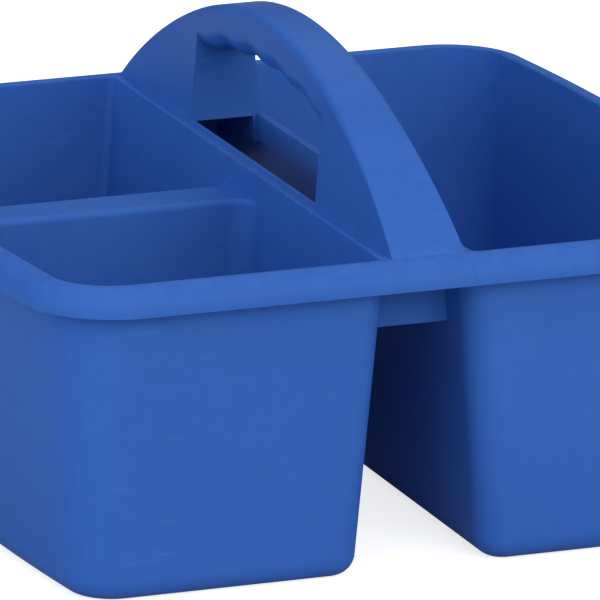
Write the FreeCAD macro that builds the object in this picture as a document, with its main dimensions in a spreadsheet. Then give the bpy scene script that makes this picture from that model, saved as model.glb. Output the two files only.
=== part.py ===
import FreeCAD, Part
import math
import os
import Sketcher

V = FreeCAD.Vector
LEFT_RIGHT = V(1, 0, 0)
FRONT_REAR = V(0, 1, 0)
TOUCHING = 1e-6
doc = FreeCAD.newDocument("storage_caddy")

# Driving dimensions in millimetres; slopes are sideways millimetres per millimetre of height
SIZES = {
    "overall_width": 229.5,
    "overall_depth": 235.0,
    "side_bow": 919.0,
    "rim_top": 90.0,
    "rim_skirt": 7.6,
    "rim_corner": 27.0,
    "rim_round": 6.5,
    "rim_skin": 2.2,
    "rim_overhang": 6.3,
    "rim_edge_round": 0.8,
    "channel_round": 3.0,
    "cup_wall": 2.1,
    "cup_draft": 0.045,
    "cup_corner": 18.6,
    "inner_corner": 8.5,
    "floor_thickness": 2.2,
    "floor_round": 6.0,
    "gap_half": 10.6,
    "gap_lean": 0.084,
    "gap_wall": 2.6,
    "gap_corner": 2.0,
    "divider_width": 16.6,
    "divider_plate": 2.2,
    "divider_tip": 2.5,
    "divider_round": 1.6,
    "flare_clearance": 0.02,
    "handle_rise": 41.3,
    "crest_radius": 162.4,
    "foot_setback": 6.6,
    "foot_blend": 1.5,
    "crest_edge_round": 2.4,
    "foot_edge_round": 0.1,
    "cheek_wall": 2.2,
    "band_wall": 2.2,
    "end_wall": 2.2,
    "opening_length": 101.0,
    "lip_height": 0.6,
    "lip_wall": 1.0,
    "lip_round": 0.3,
    "grip_thickness": 14.4,
    "soffit_radius": 200.0,
    "finger_pitch": 21.0,
    "finger_depth": 1.2,
    "grip_edge_round": 5.0,
    "web_setback": 25.5,
    "web_wall": 2.2,
    "web_drop": 16.4,
    "trim_margin": 10.0,
}
sheet = doc.addObject("Spreadsheet::Sheet", "Sizes")
for row, (alias, number) in enumerate(SIZES.items(), start=1):
    sheet.set(f"A{row}", alias)
    sheet.set(f"B{row}", str(number))
    sheet.setAlias(f"B{row}", alias)
doc.recompute()

# Heights and places that several pieces share, as sheet expressions
RIM_BOTTOM = "(Sizes.rim_top - Sizes.rim_skirt)"
HANDLE_TOP = "(Sizes.rim_top + Sizes.handle_rise)"
ABOVE_HANDLE = f"({HANDLE_TOP} + Sizes.trim_margin)"
LIP_TOP = "(Sizes.rim_top + Sizes.lip_height)"
RIM_FRONT = "(Sizes.overall_depth / 2)"
RIM_SIDE = "(Sizes.overall_width / 2)"
CUP_FRONT = f"({RIM_FRONT} - Sizes.rim_overhang)"
CUP_SIDE = f"({RIM_SIDE} - Sizes.rim_overhang)"
CAVITY_SIDE = f"({CUP_SIDE} - Sizes.cup_wall)"
CAVITY_CORNER = "(Sizes.inner_corner - Sizes.cup_wall)"
DIVIDER_FACE = "(Sizes.divider_width / 2 - Sizes.cup_wall)"
OPENING_END = "(Sizes.opening_length / 2)"


def value_of(expression):
    return float(sheet.evalExpression(expression))


def gap_plane(height):
    # Half the gap between the tubs, which is also half the handle's width, at a height
    return f"(Sizes.gap_half + Sizes.gap_lean * (Sizes.rim_top - {height}))"


# Sketches
def new_sketch(body, name, role, offset):
    plane = next(feature for feature in body.Origin.OriginFeatures if feature.Role == role)
    sketch = body.newObject("Sketcher::SketchObject", name)
    sketch.AttachmentSupport = (plane, [""])
    sketch.MapMode = "FlatFace"
    sketch.setExpression("AttachmentOffset.Base.z", offset)
    return sketch


def dimension(sketch, name, expression, kind, *where):
    index = sketch.addConstraint(Sketcher.Constraint(kind, *where, value_of(expression)))
    sketch.renameConstraint(index, name)
    sketch.setExpression(f"Constraints.{name}", expression)


def place(sketch, name, expression, kind, geometry, point):
    # Distance of a point from the sketch's origin, measured whichever way is positive
    if value_of(expression) > 0:
        dimension(sketch, name, expression, kind, -1, 1, geometry, point)
    else:
        dimension(sketch, name, f"-{expression}", kind, geometry, point, -1, 1)


def join(sketch, kinds, backward=None):
    # Each piece of a closed outline to the next, end to start; a hollow arc is drawn backward
    for first, kind in enumerate(kinds):
        second = (first + 1) % len(kinds)
        end, start = 1 if first == backward else 2, 2 if second == backward else 1
        sketch.addConstraint(Sketcher.Constraint(kind, first, end, second, start))


def arc(centre, radius, start, end):
    return Part.ArcOfCircle(Part.Circle(centre, V(0, 0, 1), radius), start, end)


def polygon(sketch, corners):
    # Closed outline of straight lines with every corner placed from the origin
    points = [V(value_of(across), value_of(up), 0) for across, up in corners]
    sketch.addGeometry([Part.LineSegment(a, b) for a, b in zip(points, points[1:] + points[:1])], False)
    join(sketch, ["Coincident"] * len(corners))
    for index, (across, up) in enumerate(corners):
        place(sketch, f"across_{index}", across, "DistanceX", index, 1)
        place(sketch, f"up_{index}", up, "DistanceY", index, 1)


def plan_outline(sketch, front, rear, side, gap, front_corner, rear_corner, gap_corner=None):
    # Plan of a tub on the +X side: straight front, rear and gap sides, a bowed outer side and
    # rounded outer corners; the corners beside the gap are square unless they have a radius
    front_y, rear_y, gap_x = value_of(front), value_of(rear), value_of(gap)
    front_r, rear_r = value_of(front_corner), value_of(rear_corner)
    gap_r = value_of(gap_corner) if gap_corner else 0
    bow_r = value_of("Sizes.side_bow")
    bow_x = value_of(side) - bow_r
    front_cy, rear_cy = front_y + front_r, rear_y - rear_r
    front_cx = bow_x + math.sqrt((bow_r - front_r) ** 2 - front_cy ** 2)
    rear_cx = bow_x + math.sqrt((bow_r - rear_r) ** 2 - rear_cy ** 2)
    front_turn = math.atan2(front_cy, front_cx - bow_x)
    rear_turn = math.atan2(rear_cy, rear_cx - bow_x)
    quarter = math.pi / 2
    outer_sides = [
        Part.LineSegment(V(gap_x + gap_r, front_y, 0), V(front_cx, front_y, 0)),
        arc(V(front_cx, front_cy, 0), front_r, -quarter, front_turn),
        arc(V(bow_x, 0, 0), bow_r, front_turn, rear_turn),
        arc(V(rear_cx, rear_cy, 0), rear_r, rear_turn, quarter),
        Part.LineSegment(V(rear_cx, rear_y, 0), V(gap_x + gap_r, rear_y, 0)),
    ]
    gap_side = [Part.LineSegment(V(gap_x, rear_y - gap_r, 0), V(gap_x, front_y + gap_r, 0))]
    joints = ["Tangent"] * 4 + ["Coincident"] * 2
    if gap_corner:
        rear_arc = arc(V(gap_x + gap_r, rear_y - gap_r, 0), gap_r, quarter, 2 * quarter)
        front_arc = arc(V(gap_x + gap_r, front_y + gap_r, 0), gap_r, 2 * quarter, 3 * quarter)
        gap_side = [rear_arc] + gap_side + [front_arc]
        joints = ["Tangent"] * 8
    sketch.addGeometry(outer_sides + gap_side, False)
    join(sketch, joints)
    gap_line = 6 if gap_corner else 5
    sketch.addConstraint(Sketcher.Constraint("Horizontal", 0))
    sketch.addConstraint(Sketcher.Constraint("Horizontal", 4))
    sketch.addConstraint(Sketcher.Constraint("Vertical", gap_line))
    sketch.addConstraint(Sketcher.Constraint("PointOnObject", 2, 3, -1))
    place(sketch, "front", front, "DistanceY", 0, 1)
    place(sketch, "rear", rear, "DistanceY", 4, 1)
    place(sketch, "gap", gap, "DistanceX", gap_line, 1)
    place(sketch, "bow_centre", f"({side} - Sizes.side_bow)", "DistanceX", 2, 3)
    dimension(sketch, "bow", "Sizes.side_bow", "Radius", 2)
    dimension(sketch, "front_corner", front_corner, "Radius", 1)
    dimension(sketch, "rear_corner", rear_corner, "Radius", 3)
    if gap_corner:
        dimension(sketch, "rear_gap_corner", gap_corner, "Radius", 5)
        dimension(sketch, "front_gap_corner", gap_corner, "Radius", 7)


def arch_outline(sketch, inset):
    # Front half of the handle's side view, set in by a wall: a crest arc over the finger opening,
    # a leg arc tangent to it, a hollow blend onto the rim's top, and the rim's round to its front
    crest = f"(Sizes.crest_radius - {inset})"
    blend = f"(Sizes.foot_blend + {inset})"
    foot = f"(Sizes.rim_round - {inset})"
    front = f"({RIM_FRONT} - {inset})"
    top = f"({HANDLE_TOP} - {inset})"
    ledge = f"(Sizes.rim_top - {inset})"
    landing = f"({RIM_FRONT} - Sizes.foot_setback)"
    shoulder = f"({OPENING_END} * {crest} / Sizes.crest_radius)"
    crest_r, blend_r, foot_r = value_of(crest), value_of(blend), value_of(foot)
    front_y, landing_y = -value_of(front), -value_of(landing)
    top_z, ledge_z, bottom_z = value_of(top), value_of(ledge), value_of(RIM_BOTTOM)
    crest_c = V(0, top_z - crest_r, 0)
    turn = math.pi / 2 + math.asin(value_of(shoulder) / crest_r)
    outward = V(math.cos(turn), math.sin(turn), 0)
    meeting = crest_c + outward * crest_r
    blend_c = V(landing_y, ledge_z + blend_r, 0)
    foot_c = V(front_y + foot_r, ledge_z - foot_r, 0)
    reach = blend_c - meeting
    leg_r = (blend_r ** 2 - reach.dot(reach)) / (2 * reach.dot(outward) - 2 * blend_r)
    leg_c = meeting - outward * leg_r
    leg_end = math.atan2(blend_c.y - leg_c.y, blend_c.x - leg_c.x)
    sketch.addGeometry([
        Part.LineSegment(V(front_y, bottom_z, 0), V(0, bottom_z, 0)),
        Part.LineSegment(V(0, bottom_z, 0), V(0, top_z, 0)),
        arc(crest_c, crest_r, math.pi / 2, turn),
        arc(leg_c, leg_r, turn, leg_end),
        arc(blend_c, blend_r, -math.pi / 2, leg_end - math.pi),
        Part.LineSegment(V(landing_y, ledge_z, 0), V(foot_c.x, ledge_z, 0)),
        arc(foot_c, foot_r, math.pi / 2, math.pi),
        Part.LineSegment(V(front_y, foot_c.y, 0), V(front_y, bottom_z, 0)),
    ], False)
    join(sketch, ["Coincident", "Coincident"] + ["Tangent"] * 5 + ["Coincident"], backward=4)
    sketch.addConstraint(Sketcher.Constraint("Horizontal", 0))
    sketch.addConstraint(Sketcher.Constraint("Vertical", 1))
    sketch.addConstraint(Sketcher.Constraint("Horizontal", 5))
    sketch.addConstraint(Sketcher.Constraint("Vertical", 7))
    sketch.addConstraint(Sketcher.Constraint("PointOnObject", 1, 1, -2))
    sketch.addConstraint(Sketcher.Constraint("PointOnObject", 2, 3, -2))
    place(sketch, "bottom", RIM_BOTTOM, "DistanceY", 0, 1)
    place(sketch, "front", f"-{front}", "DistanceX", 0, 1)
    place(sketch, "top", top, "DistanceY", 1, 2)
    place(sketch, "shoulder", f"-{shoulder}", "DistanceX", 2, 2)
    place(sketch, "landing", f"-{landing}", "DistanceX", 5, 1)
    place(sketch, "ledge", ledge, "DistanceY", 5, 1)
    dimension(sketch, "crest", crest, "Radius", 2)
    dimension(sketch, "blend", blend, "Radius", 4)
    dimension(sketch, "foot", foot, "Radius", 6)


# Picking faces and edges
def numbers(items, wanted):
    return [i for i, item in enumerate(items, start=1) if wanted(item)]


def names(kind, items, wanted):
    return [f"{kind}{i}" for i in numbers(items, wanted)]


def level(item, height):
    return all(abs(vertex.Z - height) < TOUCHING for vertex in item.Vertexes)


def is_upright(edge):
    return not level(edge, edge.Vertexes[0].Z)


def is_flat(face):
    return level(face, face.Vertexes[0].Z)


def faces_gap(face):
    return face.Surface.TypeId == "Part::GeomPlane" and face.normalAt(0, 0).x < -abs(face.normalAt(0, 0).y)


def faces_out(face):
    return not is_flat(face) and not faces_gap(face)


def runs_along(edge, length):
    return abs(edge.Vertexes[0].Y - edge.Vertexes[-1].Y) > length


# Solids
def pad(name, role, outline, offset, length, symmetric=False, downward=False):
    # A body with one sketch, drawn by a function, padded to a length
    body = doc.addObject("PartDesign::Body", name)
    sketch = new_sketch(body, f"{name}_sketch", role, offset)
    outline(sketch)
    feature = body.newObject("PartDesign::Pad", f"{name}_pad")
    feature.Profile = sketch
    feature.Reversed = downward
    feature.SideType = "Symmetric" if symmetric else "One side"
    feature.setExpression("Length", length)
    doc.recompute()
    return body


def lean(body, wanted, slope):
    # Drafts faces about the rim's lower plane, so that they lean outwards going up
    base = body.Tip
    neutral = names("Face", base.Shape.Faces, lambda face: level(face, value_of(RIM_BOTTOM)))
    draft = body.newObject("PartDesign::Draft", f"{body.Name}_lean")
    draft.Base = (base, names("Face", base.Shape.Faces, wanted))
    draft.NeutralPlane = (base, neutral)
    draft.Reversed = True
    draft.setExpression("Angle", f"atan({slope})")
    doc.recompute()


def round_edges(body, wanted, radius):
    base = body.Tip
    fillet = body.newObject("PartDesign::Fillet", f"{body.Name}_round")
    fillet.Base = (base, names("Edge", base.Shape.Edges, wanted))
    fillet.setExpression("Radius", radius)
    doc.recompute()


def boolean(kind, name, base, tool):
    feature = doc.addObject(f"Part::{kind}", name)
    feature.Base = base
    feature.Tool = tool
    feature.Refine = True
    doc.recompute()
    return feature


def fillet(name, base, edges):
    # Rounds edges of a finished shape; each edge is its number and the radii at its two ends
    feature = doc.addObject("Part::Fillet", name)
    feature.Base = base
    feature.Edges = edges
    doc.recompute()
    return feature


def mirror(name, source, normal):
    feature = doc.addObject("Part::Mirroring", name)
    feature.Source = source
    feature.Normal = normal
    doc.recompute()
    return feature


def tub_block(name, outline, height, upward, side_slope=None, front_corner=None, rear_corner=None):
    # A block up or down from the rim's lower plane. Its gap side leans with the gap, its other
    # sides by a slope of their own, and its two corners beside the gap may be rounded.
    body = pad(name, "XY_Plane", lambda sketch: plan_outline(sketch, *outline), RIM_BOTTOM, height,
               downward=not upward)
    if side_slope:
        lean(body, faces_out, side_slope)
    lean(body, faces_gap, "Sizes.gap_lean")
    if front_corner:
        middle = body.Shape.BoundBox.Center

        def beside_gap(edge, rear):
            at = edge.CenterOfMass
            return is_upright(edge) and at.x < middle.x and (at.y > middle.y) == rear

        round_edges(body, lambda edge: beside_gap(edge, False), front_corner)
        round_edges(body, lambda edge: beside_gap(edge, True), rear_corner)
    return body


def leaning_slab(name, bottom, top, outer_inset, inner_inset, start, length):
    # A slab along Y, from a distance in front of the middle, whose sides follow the gap's lean.
    # It spans the gap, or lies on the +X side only when it has an inner inset.
    def side(height, inset):
        return f"({gap_plane(height)} - {inset})"

    def section(sketch):
        low_outer, high_outer = side(bottom, outer_inset), side(top, outer_inset)
        low_inner, high_inner = f"-{low_outer}", f"-{high_outer}"
        if inner_inset:
            low_inner, high_inner = side(bottom, inner_inset), side(top, inner_inset)
        polygon(sketch, [(low_inner, bottom), (low_outer, bottom), (high_outer, top), (high_inner, top)])

    return pad(name, "XZ_Plane", section, start, length)


# Cups: an outer form less a cavity; the small ones are drawn on the +X side and mirrored to the left
def cup(name, rear, rear_corner, rear_gap_corner):
    outer = (f"-{CUP_FRONT}", rear, CUP_SIDE, gap_plane(RIM_BOTTOM), "Sizes.cup_corner", rear_corner)
    inner = (
        f"-({CUP_FRONT} - Sizes.cup_wall)",
        f"({rear} - Sizes.cup_wall)",
        CAVITY_SIDE,
        f"({gap_plane(RIM_BOTTOM)} + Sizes.gap_wall)",
        "(Sizes.cup_corner - Sizes.cup_wall)",
        f"({rear_corner} - Sizes.cup_wall)",
    )
    form = tub_block(f"{name}_form", outer, RIM_BOTTOM, False, "Sizes.cup_draft", "Sizes.inner_corner",
                     "Sizes.inner_corner")
    round_edges(form, lambda edge: level(edge, 0), "Sizes.floor_round")
    depth = f"({RIM_BOTTOM} - Sizes.floor_thickness)"
    cavity = tub_block(f"{name}_cavity", inner, depth, False, "Sizes.cup_draft", "Sizes.gap_corner",
                       rear_gap_corner)
    floor = value_of("Sizes.floor_thickness")
    round_edges(cavity, lambda edge: level(edge, floor), "(Sizes.floor_round - Sizes.cup_wall)")
    return form, boolean("Cut", name, form, cavity), inner


tub_form, right_cup, tub_inside = cup("right_cup", CUP_FRONT, "Sizes.cup_corner", "Sizes.gap_corner")
small_form, square_small_cup = cup("square_small_cup", f"(-{DIVIDER_FACE})", "Sizes.inner_corner",
                                   CAVITY_CORNER)[:2]


# The small cups' edge along the divider is rounded over: the cavity widens towards the divider
# in short steps that follow a quarter circle, and runs out into the side walls
def flare_outline(turn):
    drop = f"(Sizes.divider_round * {1 - math.sin(turn)})"
    shift = f"(Sizes.divider_round * {1 - math.cos(turn)})"
    height = f"({RIM_BOTTOM} - {drop})"
    outline = (
        f"(-{CUP_FRONT} / 2)",
        f"(-({DIVIDER_FACE} + Sizes.cup_wall + Sizes.cup_draft * {drop} - {shift}))",
        f"({CAVITY_SIDE} - Sizes.cup_draft * {drop} - Sizes.flare_clearance)",
        f"({gap_plane(height)} + Sizes.gap_wall + Sizes.flare_clearance)",
        CAVITY_CORNER,
        CAVITY_CORNER,
        CAVITY_CORNER,
    )
    return height, outline


FLARE_STEPS = 4
flare = doc.addObject("PartDesign::Body", "flare")
flare_sketches = []
for step in range(FLARE_STEPS + 1):
    height, outline = flare_outline(math.pi / 2 * step / FLARE_STEPS)
    flare_sketches.append(new_sketch(flare, f"flare_sketch_{step}", "XY_Plane", height))
    plan_outline(flare_sketches[-1], *outline)
doc.recompute()
flare_loft = flare.newObject("PartDesign::AdditiveLoft", "flare_loft")
flare_loft.Profile = flare_sketches[0]
flare_loft.Sections = flare_sketches[1:]
flare_loft.Ruled = True
doc.recompute()
small_cup = boolean("Cut", "small_cup", square_small_cup, flare)
left_front_cup = mirror("left_front_cup", small_cup, LEFT_RIGHT)
left_rear_cup = mirror("left_rear_cup", left_front_cup, FRONT_REAR)


# Divider bridge: a plate across the tub, flush with its sides, between the two small cups
def bridge_plan(sketch):
    half = f"({DIVIDER_FACE} + Sizes.inner_corner - Sizes.divider_tip)"
    gap_end = gap_plane("Sizes.rim_top")
    polygon(sketch, [(gap_end, f"-{half}"), (RIM_SIDE, f"-{half}"), (RIM_SIDE, half), (gap_end, half)])


bridge_plate = pad("bridge_plate", "XY_Plane", bridge_plan, RIM_BOTTOM, "Sizes.divider_plate", downward=True)
tub_bridge = boolean("Common", "tub_bridge", bridge_plate, tub_form)
front_cut_bridge = boolean("Cut", "front_cut_bridge", tub_bridge, small_form)
rear_small_form = mirror("rear_small_form", small_form, FRONT_REAR)
cut_bridge = boolean("Cut", "cut_bridge", front_cut_bridge, rear_small_form)
divider_bridge = mirror("divider_bridge", cut_bridge, LEFT_RIGHT)


# Rim: a block with a rounded outer top edge, less the tub's inside and a channel under the overhang
def rim_outline(inset, gap):
    front = f"({RIM_FRONT} - {inset})"
    corner = f"(Sizes.rim_corner - {inset})"
    return f"-{front}", front, f"({RIM_SIDE} - {inset})", gap, corner, corner


def top_outside(block, gap):
    # True for the top edges of a block that aren't along its gap side
    top = block.Shape.BoundBox.ZMax
    return lambda edge: level(edge, top) and edge.CenterOfMass.x > value_of(gap)


RIM_GAP = gap_plane(RIM_BOTTOM)
CHANNEL_GAP = f"({RIM_GAP} - Sizes.cup_wall)"
WALL_GAP = f"({CHANNEL_GAP} - Sizes.cup_wall)"
rim_form = tub_block("rim_form", rim_outline("0", RIM_GAP), "Sizes.rim_skirt", True)
round_edges(rim_form, top_outside(rim_form, RIM_GAP), "Sizes.rim_round")
rim_inside = tub_block("rim_inside", tub_inside, "Sizes.rim_skirt", True, "Sizes.cup_draft", "Sizes.gap_corner",
                       "Sizes.gap_corner")
open_rim = boolean("Cut", "open_rim", rim_form, rim_inside)
channel_form = tub_block("channel_form", rim_outline("Sizes.rim_skin", CHANNEL_GAP),
                         "(Sizes.rim_skirt - Sizes.rim_skin)", True)
round_edges(channel_form, top_outside(channel_form, CHANNEL_GAP), "Sizes.channel_round")
wall_outline = (f"-{CUP_FRONT}", CUP_FRONT, CUP_SIDE, WALL_GAP, "Sizes.cup_corner", "Sizes.cup_corner")
wall_block = tub_block("wall_block", wall_outline, "Sizes.rim_skirt", True, "Sizes.cup_draft")
channel = boolean("Cut", "channel", channel_form, wall_block)
hollow_rim = boolean("Cut", "hollow_rim", open_rim, channel)


def along_inside(edge):
    return level(edge, value_of("Sizes.rim_top")) and edge.distToShape(rim_inside.Shape)[0] < TOUCHING


rim_edge = value_of("Sizes.rim_edge_round")
right_rim = fillet("right_rim", hollow_rim,
                   [(i, rim_edge, rim_edge) for i in numbers(hollow_rim.Shape.Edges, along_inside)])
left_rim = mirror("left_rim", right_rim, LEFT_RIGHT)

# Handle envelope: the arch in side view, narrowed by the gap's lean
ARCH_WIDTH = "(2 * (Sizes.gap_half + Sizes.trim_margin))"
PAST_FRONT = f"({RIM_FRONT} + Sizes.trim_margin)"


def arch_block(name, inset):
    return pad(name, "YZ_Plane", lambda sketch: arch_outline(sketch, inset), "0", ARCH_WIDTH, symmetric=True)


arch_slab = arch_block("arch_slab", "0")
under_arch = arch_block("under_arch", "Sizes.band_wall")
handle_slab = leaning_slab("handle_slab", RIM_BOTTOM, ABOVE_HANDLE, "0", None, "0", PAST_FRONT)
square_handle = boolean("Common", "square_handle", arch_slab, handle_slab)


# Its long top edges are rounded at the crest, and the round fades out down the legs to the foot
def leg_edge(edge):
    starts_at_shoulder = abs(max(vertex.Y for vertex in edge.Vertexes) + value_of(OPENING_END)) < TOUCHING
    return starts_at_shoulder and runs_along(edge, value_of("Sizes.rim_round"))


def fading_round(edge):
    radii = [value_of("Sizes.crest_edge_round"), value_of("Sizes.foot_edge_round")]
    return radii if edge.Vertexes[0].Y > edge.Vertexes[1].Y else radii[::-1]


handle_edges = square_handle.Shape.Edges
front_handle = fillet("front_handle", square_handle,
                      [(i, *fading_round(handle_edges[i - 1])) for i in numbers(handle_edges, leg_edge)])
rear_handle = mirror("rear_handle", front_handle, FRONT_REAR)
whole_handle = boolean("Fuse", "whole_handle", front_handle, rear_handle)

# Grip: the handle above the finger opening, with finger grooves in its underside
GROOVE_POINTS = 8
opening_end = value_of(OPENING_END)
soffit_crest = value_of(f"{HANDLE_TOP} - Sizes.grip_thickness")
soffit_radius = value_of("Sizes.soffit_radius")
pitch, depth = value_of("Sizes.finger_pitch"), value_of("Sizes.finger_depth")


def soffit_height(along):
    sag = soffit_radius - math.sqrt(soffit_radius ** 2 - along ** 2)
    return soffit_crest - sag + depth / 2 * (1 - math.cos(2 * math.pi * along / pitch))


spans = round(2 * opening_end / pitch * GROOVE_POINTS)
stations = [opening_end * (2 * i / spans - 1) for i in range(spans + 1)]
soffit = Part.BSplineCurve()
soffit.interpolate([V(0, along, soffit_height(along)) for along in stations])
above = value_of(ABOVE_HANDLE)
corners = [V(0, opening_end, above), V(0, -opening_end, above)]
over_soffit = Part.makePolygon([soffit.EndPoint] + corners + [soffit.StartPoint])
grip_face = Part.Face(Part.Wire([soffit.toShape()] + over_soffit.Edges))
half_width = value_of(ARCH_WIDTH) / 2
grip_slab = doc.addObject("Part::Feature", "grip_slab")
grip_slab.Shape = grip_face.extrude(V(2 * half_width, 0, 0))
grip_slab.Placement = FreeCAD.Placement(V(-half_width, 0, 0), FreeCAD.Rotation())
square_grip = boolean("Common", "square_grip", whole_handle, grip_slab)


def under_grip(edge):
    return runs_along(edge, opening_end) and edge.CenterOfMass.z < soffit_crest + depth


grip_edge = value_of("Sizes.grip_edge_round")
handle_grip = fillet("handle_grip", square_grip,
                     [(i, grip_edge, grip_edge) for i in numbers(square_grip.Shape.Edges, under_grip)])

# Handle legs: two cheeks, a band over them that runs down into the rim, and a wall at the opening
CHEEK = "Sizes.cheek_wall"
LEG_LENGTH = f"({PAST_FRONT} - {OPENING_END})"
BAND_START = f"({OPENING_END} + Sizes.end_wall)"
cheek_slab = leaning_slab("cheek_slab", RIM_BOTTOM, ABOVE_HANDLE, "0", CHEEK, OPENING_END, LEG_LENGTH)
band_slab = leaning_slab("band_slab", RIM_BOTTOM, ABOVE_HANDLE, CHEEK, None, BAND_START, LEG_LENGTH)
wall_slab = leaning_slab("wall_slab", "Sizes.rim_top", ABOVE_HANDLE, CHEEK, None, OPENING_END,
                         "Sizes.end_wall")
front_right_cheek = boolean("Common", "front_right_cheek", front_handle, cheek_slab)
front_left_cheek = mirror("front_left_cheek", front_right_cheek, LEFT_RIGHT)
rear_right_cheek = mirror("rear_right_cheek", front_right_cheek, FRONT_REAR)
rear_left_cheek = mirror("rear_left_cheek", front_left_cheek, FRONT_REAR)
leg_core = boolean("Common", "leg_core", front_handle, band_slab)
front_band = boolean("Cut", "front_band", leg_core, under_arch)
rear_band = mirror("rear_band", front_band, FRONT_REAR)
front_end_wall = boolean("Common", "front_end_wall", front_handle, wall_slab)
rear_end_wall = mirror("rear_end_wall", front_end_wall, FRONT_REAR)

# Lips: the handle's sides carried on below the finger opening
right_lip = leaning_slab("right_lip", RIM_BOTTOM, LIP_TOP, "0", "Sizes.lip_wall", f"(-{OPENING_END})",
                         "Sizes.opening_length")
round_edges(right_lip, lambda edge: level(edge, value_of(LIP_TOP)) and runs_along(edge, opening_end),
            "Sizes.lip_round")
left_lip = mirror("left_lip", right_lip, LEFT_RIGHT)

# Webs that tie the tubs together across the gap, below the rim
WEB_BOTTOM = f"({RIM_BOTTOM} - Sizes.web_drop)"
WEB_START = f"({RIM_FRONT} - Sizes.web_setback - Sizes.web_wall)"
front_gap_web = leaning_slab("front_gap_web", WEB_BOTTOM, RIM_BOTTOM, "0", None, WEB_START, "Sizes.web_wall")
rear_gap_web = mirror("rear_gap_web", front_gap_web, FRONT_REAR)

# Checks, then one file for each node
nodes = [
    left_front_cup, left_rear_cup, right_cup, divider_bridge, left_rim, right_rim, handle_grip,
    front_left_cheek, front_right_cheek, rear_left_cheek, rear_right_cheek, front_band, rear_band,
    front_end_wall, rear_end_wall, left_lip, right_lip, front_gap_web, rear_gap_web,
]
doc.recompute()
failed = [item.Label for item in doc.Objects if {"Invalid", "Error"} & set(item.State)]
if failed:
    raise RuntimeError(f"failed objects: {failed}")
for node in nodes:
    if node.Shape.isNull() or not node.Shape.isValid() or len(node.Shape.Solids) != 1:
        raise RuntimeError(f"not one sound solid: {node.Label}")
os.makedirs("parts", exist_ok=True)
for node in nodes:
    node.Shape.exportStep(f"parts/{node.Label}.step")
    print(node.Label, round(node.Shape.Volume, 1))
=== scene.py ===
import math

import bpy
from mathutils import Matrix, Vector

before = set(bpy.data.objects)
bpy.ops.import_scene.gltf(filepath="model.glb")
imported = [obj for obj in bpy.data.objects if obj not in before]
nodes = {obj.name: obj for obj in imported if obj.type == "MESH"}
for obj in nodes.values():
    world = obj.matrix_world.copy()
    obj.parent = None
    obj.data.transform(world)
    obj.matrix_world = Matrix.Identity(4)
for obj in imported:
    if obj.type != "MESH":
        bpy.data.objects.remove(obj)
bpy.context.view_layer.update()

MM = 0.001
scene = bpy.context.scene
scene.view_settings.view_transform = "Standard"

# Camera: the photograph's viewing angle, in degrees, and its narrow field of view
CAMERA_PLACE = Vector((-945.0, -2547.2, 796.3)) * MM
CAMERA_PITCH = 15.375
CAMERA_YAW = 20.432
CAMERA_LENS = 600.0
CAMERA_SENSOR = 36.0
CAMERA_REACH = 100.0

# Plastic colours, from the deepest pigment to the rubbed edges, and its surface reflection
PIGMENT_DEEP = (0.035, 0.121, 0.456, 1.0)
PIGMENT_PALE = (0.042, 0.136, 0.490, 1.0)
RUBBED = (0.058, 0.170, 0.560, 1.0)
REFRACTION = 1.49
SPECULAR = 0.07

# Heights where the caddy is rubbed, scuffed and held
RIM_TOP = max(corner[2] for corner in nodes["left_rim"].bound_box)
RUB_REACH = 2.5 * MM
FLOOR_TOP = 2.2 * MM
SCUFF_REACH = 7.0 * MM
HELD_FROM = 104.0 * MM
HELD_TO = 118.0 * MM

# Noise scales, in cells per metre, and their detail
FLOW_SCALE = 14.0
FLOW_DETAIL = 3.0
FLOW_SWIRL = 0.6
WAVE_SCALE = 22.0
WAVE_DETAIL = 1.0
PATCH_SCALE = 30.0
MOTTLE_SCALE = 260.0
GRAIN_SCALE = 1500.0
FINE_DETAIL = 2.0
STREAK_SCALE = (60.0, 900.0, 420.0)
STREAK_TURN = (0.2, 0.5, 0.6)

# Spans of noise over which each effect comes in
DRIFT_SPAN = (0.36, 0.64)
STREAK_SPAN = (0.62, 0.72)
PATCH_SPAN = (0.54, 0.68)
RUB_SPAN = (0.42, 0.72)
FLOW_SPAN = (0.3, 0.7)

# How much each effect does
MOTTLE_SHARE = 0.35
FLOW_SHARE = 0.65
SCUFF_WEAR = 0.55
RUB_WEAR = 0.40
MOST_WEAR = 0.7
MOULDED_ROUGHNESS = (0.40, 0.48)
WORN_ROUGHNESS = 0.10
HELD_POLISH = 0.07
WAVE_STRENGTH = 0.10
WAVE_DEPTH = 0.25 * MM
GRAIN_STRENGTH = 0.16
GRAIN_DEPTH = 0.08 * MM

# Floor: half its width in metres, its grey, and the glow that makes it white to the camera
FLOOR_REACH = 40.0
FLOOR_SHADE = (0.62, 0.62, 0.62, 1.0)
FLOOR_GLOW = 0.76

# World: a soft fill from the front, the rear and overhead, and white behind the object
FILL_FRONT = 0.82
FILL_REAR = 0.09
FILL_OVERHEAD = 0.46
FILL_TINT = (0.84, 0.93, 1.0, 1.0)
WHITE = (1.0, 1.0, 1.0, 1.0)

# Lamps: where they aim, and their colours
TUBS = (0.0, 0.0, 0.05)
HANDLE = (0.0, 0.0, 0.12)
WARM = (1.0, 0.91, 0.77)
COOL = (0.62, 0.86, 1.0)
NEUTRAL = (1.0, 1.0, 1.0)


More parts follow.
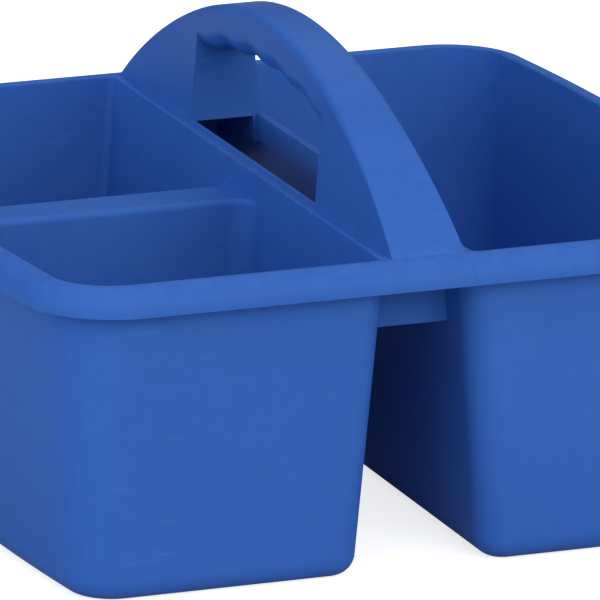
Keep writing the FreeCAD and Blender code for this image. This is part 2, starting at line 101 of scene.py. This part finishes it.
# Node helpers
class Tree:
    def __init__(self, owner):
        owner.use_nodes = True
        self.tree = owner.node_tree
        self.tree.nodes.clear()

    def add(self, kind, settings=None, **inputs):
        node = self.tree.nodes.new(kind)
        for name, value in (settings or {}).items():
            setattr(node, name, value)
        for name, value in inputs.items():
            self.set(node, name.replace("_", " "), value)
        return node

    def set(self, node, socket, value):
        target = node.inputs[socket]
        if isinstance(value, bpy.types.NodeSocket):
            self.tree.links.new(value, target)
        else:
            target.default_value = value

    def noise(self, vector, scale, detail, distortion=0.0):
        node = self.add("ShaderNodeTexNoise", Vector=vector, Scale=scale, Detail=detail,
                        Distortion=distortion)
        return node.outputs["Fac"]

    def math(self, operation, *values):
        node = self.add("ShaderNodeMath", {"operation": operation})
        for index, value in enumerate(values):
            self.set(node, index, value)
        return node.outputs["Value"]

    def ramp(self, value, span, result=(0.0, 1.0)):
        node = self.add("ShaderNodeMapRange", Value=value, From_Min=span[0], From_Max=span[1],
                        To_Min=result[0], To_Max=result[1])
        return node.outputs["Result"]

    def mix(self, factor, first, second):
        node = self.add("ShaderNodeMixRGB", Fac=factor, Color1=first, Color2=second)
        return node.outputs["Color"]


# Moulded polypropylene
def pigment(t, flow, mottle):
    # Drifts a little, in broad swirls with a fine mottle over them
    drift = t.math("MULTIPLY_ADD", mottle, MOTTLE_SHARE, t.math("MULTIPLY", flow, FLOW_SHARE))
    return t.mix(t.ramp(drift, DRIFT_SPAN), PIGMENT_DEEP, PIGMENT_PALE)


def scuffs(t, place, height):
    # Hairlines: the crests of long thin noise, kept to a few patches and to the floors
    thin = t.add("ShaderNodeMapping", Vector=place, Scale=STREAK_SCALE, Rotation=STREAK_TURN)
    streaks = t.noise(thin.outputs["Vector"], 1.0, FINE_DETAIL)
    patches = t.ramp(t.noise(place, PATCH_SCALE, FINE_DETAIL), PATCH_SPAN)
    scuffed = t.math("MAXIMUM", patches, t.ramp(height, (SCUFF_REACH, FLOOR_TOP)))
    return t.math("MULTIPLY", t.ramp(streaks, STREAK_SPAN), scuffed)


def rubbing(t, height, mottle):
    # Paler edges: the highest part of the rims and the turn of the floors
    off_rim = t.math("ABSOLUTE", t.math("SUBTRACT", height, RIM_TOP))
    near_rim = t.ramp(off_rim, (RUB_REACH, 0.0))
    near_floor = t.ramp(height, (RUB_REACH, 0.0))
    edges = t.math("MAXIMUM", near_rim, near_floor)
    return t.math("MULTIPLY", edges, t.ramp(mottle, RUB_SPAN))


def wear(t, place, height, mottle):
    rubbed = t.math("MULTIPLY", rubbing(t, height, mottle), RUB_WEAR)
    worn = t.math("MULTIPLY_ADD", scuffs(t, place, height), SCUFF_WEAR, rubbed)
    return t.math("MINIMUM", worn, MOST_WEAR)


def roughness(t, flow, height, worn):
    # Rougher where worn, and smoother where hands have polished the grip
    moulded = t.ramp(flow, FLOW_SPAN, MOULDED_ROUGHNESS)
    polish = t.ramp(height, (HELD_FROM, HELD_TO), (0.0, HELD_POLISH))
    return t.math("MULTIPLY_ADD", worn, WORN_ROUGHNESS, t.math("SUBTRACT", moulded, polish))


def relief(t, place):
    # Faint waviness in the walls under a fine even grain
    waves = t.noise(place, WAVE_SCALE, WAVE_DETAIL)
    grain = t.noise(place, GRAIN_SCALE, FINE_DETAIL)
    wavy = t.add("ShaderNodeBump", Strength=WAVE_STRENGTH, Distance=WAVE_DEPTH, Height=waves)
    grained = t.add("ShaderNodeBump", Strength=GRAIN_STRENGTH, Distance=GRAIN_DEPTH, Height=grain,
                    Normal=wavy.outputs["Normal"])
    return grained.outputs["Normal"]


def blue_plastic():
    material = bpy.data.materials.new("blue_plastic")
    t = Tree(material)
    place = t.add("ShaderNodeTexCoord").outputs["Object"]
    height = t.add("ShaderNodeSeparateXYZ", Vector=place).outputs["Z"]
    flow = t.noise(place, FLOW_SCALE, FLOW_DETAIL, FLOW_SWIRL)
    mottle = t.noise(place, MOTTLE_SCALE, FINE_DETAIL)
    worn = wear(t, place, height, mottle)
    colour = t.mix(worn, pigment(t, flow, mottle), RUBBED)
    shader = t.add("ShaderNodeBsdfPrincipled", Base_Color=colour, Normal=relief(t, place),
                   Roughness=roughness(t, flow, height, worn), IOR=REFRACTION,
                   Specular_IOR_Level=SPECULAR)
    t.add("ShaderNodeOutputMaterial", Surface=shader.outputs["BSDF"])
    return material


# Studio
def photo_camera():
    data = bpy.data.cameras.new("camera")
    data.sensor_width = CAMERA_SENSOR
    data.lens = CAMERA_LENS
    data.clip_end = CAMERA_REACH
    camera = bpy.data.objects.new("camera", data)
    camera.location = CAMERA_PLACE
    camera.rotation_euler = (math.radians(90.0 - CAMERA_PITCH), 0.0, math.radians(-CAMERA_YAW))
    scene.collection.objects.link(camera)
    return camera


def floor_material():
    # Pale, white to the camera, with the object's shadow
    material = bpy.data.materials.new("pale_floor")
    t = Tree(material)
    seen = t.add("ShaderNodeLightPath").outputs["Is Camera Ray"]
    matte = t.add("ShaderNodeBsdfDiffuse", Color=FLOOR_SHADE)
    glow = t.add("ShaderNodeEmission", Strength=t.math("MULTIPLY", seen, FLOOR_GLOW))
    both = t.add("ShaderNodeAddShader")
    t.set(both, 0, matte.outputs["BSDF"])
    t.set(both, 1, glow.outputs["Emission"])
    t.add("ShaderNodeOutputMaterial", Surface=both.outputs["Shader"])
    return material


def studio_floor():
    mesh = bpy.data.meshes.new("floor")
    corners = [(-FLOOR_REACH, -FLOOR_REACH, 0.0), (FLOOR_REACH, -FLOOR_REACH, 0.0),
               (FLOOR_REACH, FLOOR_REACH, 0.0), (-FLOOR_REACH, FLOOR_REACH, 0.0)]
    mesh.from_pydata(corners, [], [(0, 1, 2, 3)])
    mesh.materials.append(floor_material())
    plane = bpy.data.objects.new("floor", mesh)
    scene.collection.objects.link(plane)
    return plane


def studio_world():
    # Strongest from the front, with a cap of light overhead
    world = bpy.data.worlds.new("studio")
    t = Tree(world)
    seen = t.add("ShaderNodeLightPath").outputs["Is Camera Ray"]
    toward = t.add("ShaderNodeTexCoord").outputs["Generated"]
    direction = t.add("ShaderNodeSeparateXYZ", Vector=toward)
    across = t.ramp(direction.outputs["Y"], (-1.0, 1.0), (FILL_FRONT, FILL_REAR))
    overhead = t.math("POWER", t.math("MAXIMUM", direction.outputs["Z"], 0.0), 2.0)
    fill = t.math("MULTIPLY_ADD", overhead, FILL_OVERHEAD, across)
    sky = t.add("ShaderNodeBackground", Color=t.mix(seen, FILL_TINT, WHITE),
                Strength=t.math("MAXIMUM", fill, seen))
    t.add("ShaderNodeOutputWorld", Surface=sky.outputs["Background"])
    return world


def area_light(name, place, aim, size, power, colour):
    # Places and sizes in metres, power in watts
    data = bpy.data.lights.new(name, "AREA")
    data.shape = "RECTANGLE"
    data.size, data.size_y = size
    data.energy = power
    data.color = colour
    lamp = bpy.data.objects.new(name, data)
    lamp.location = place
    lamp.rotation_euler = (Vector(aim) - Vector(place)).to_track_quat("-Z", "Y").to_euler()
    scene.collection.objects.link(lamp)


scene.camera = photo_camera()
plastic = blue_plastic()
for node in nodes.values():
    node.data.materials.clear()
    node.data.materials.append(plastic)

floor = studio_floor()
scene.world = studio_world()
area_light("key", place=(0.4, -2.2, 1.2), aim=TUBS, size=(2.0, 1.0), power=24.0, colour=WARM)
area_light("side", place=(-2.0, -0.1, 0.70), aim=TUBS, size=(1.2, 1.0), power=11.0, colour=COOL)
area_light("rear", place=(1.0, 2.1, 1.9), aim=HANDLE, size=(1.0, 0.8), power=2.0, colour=NEUTRAL)
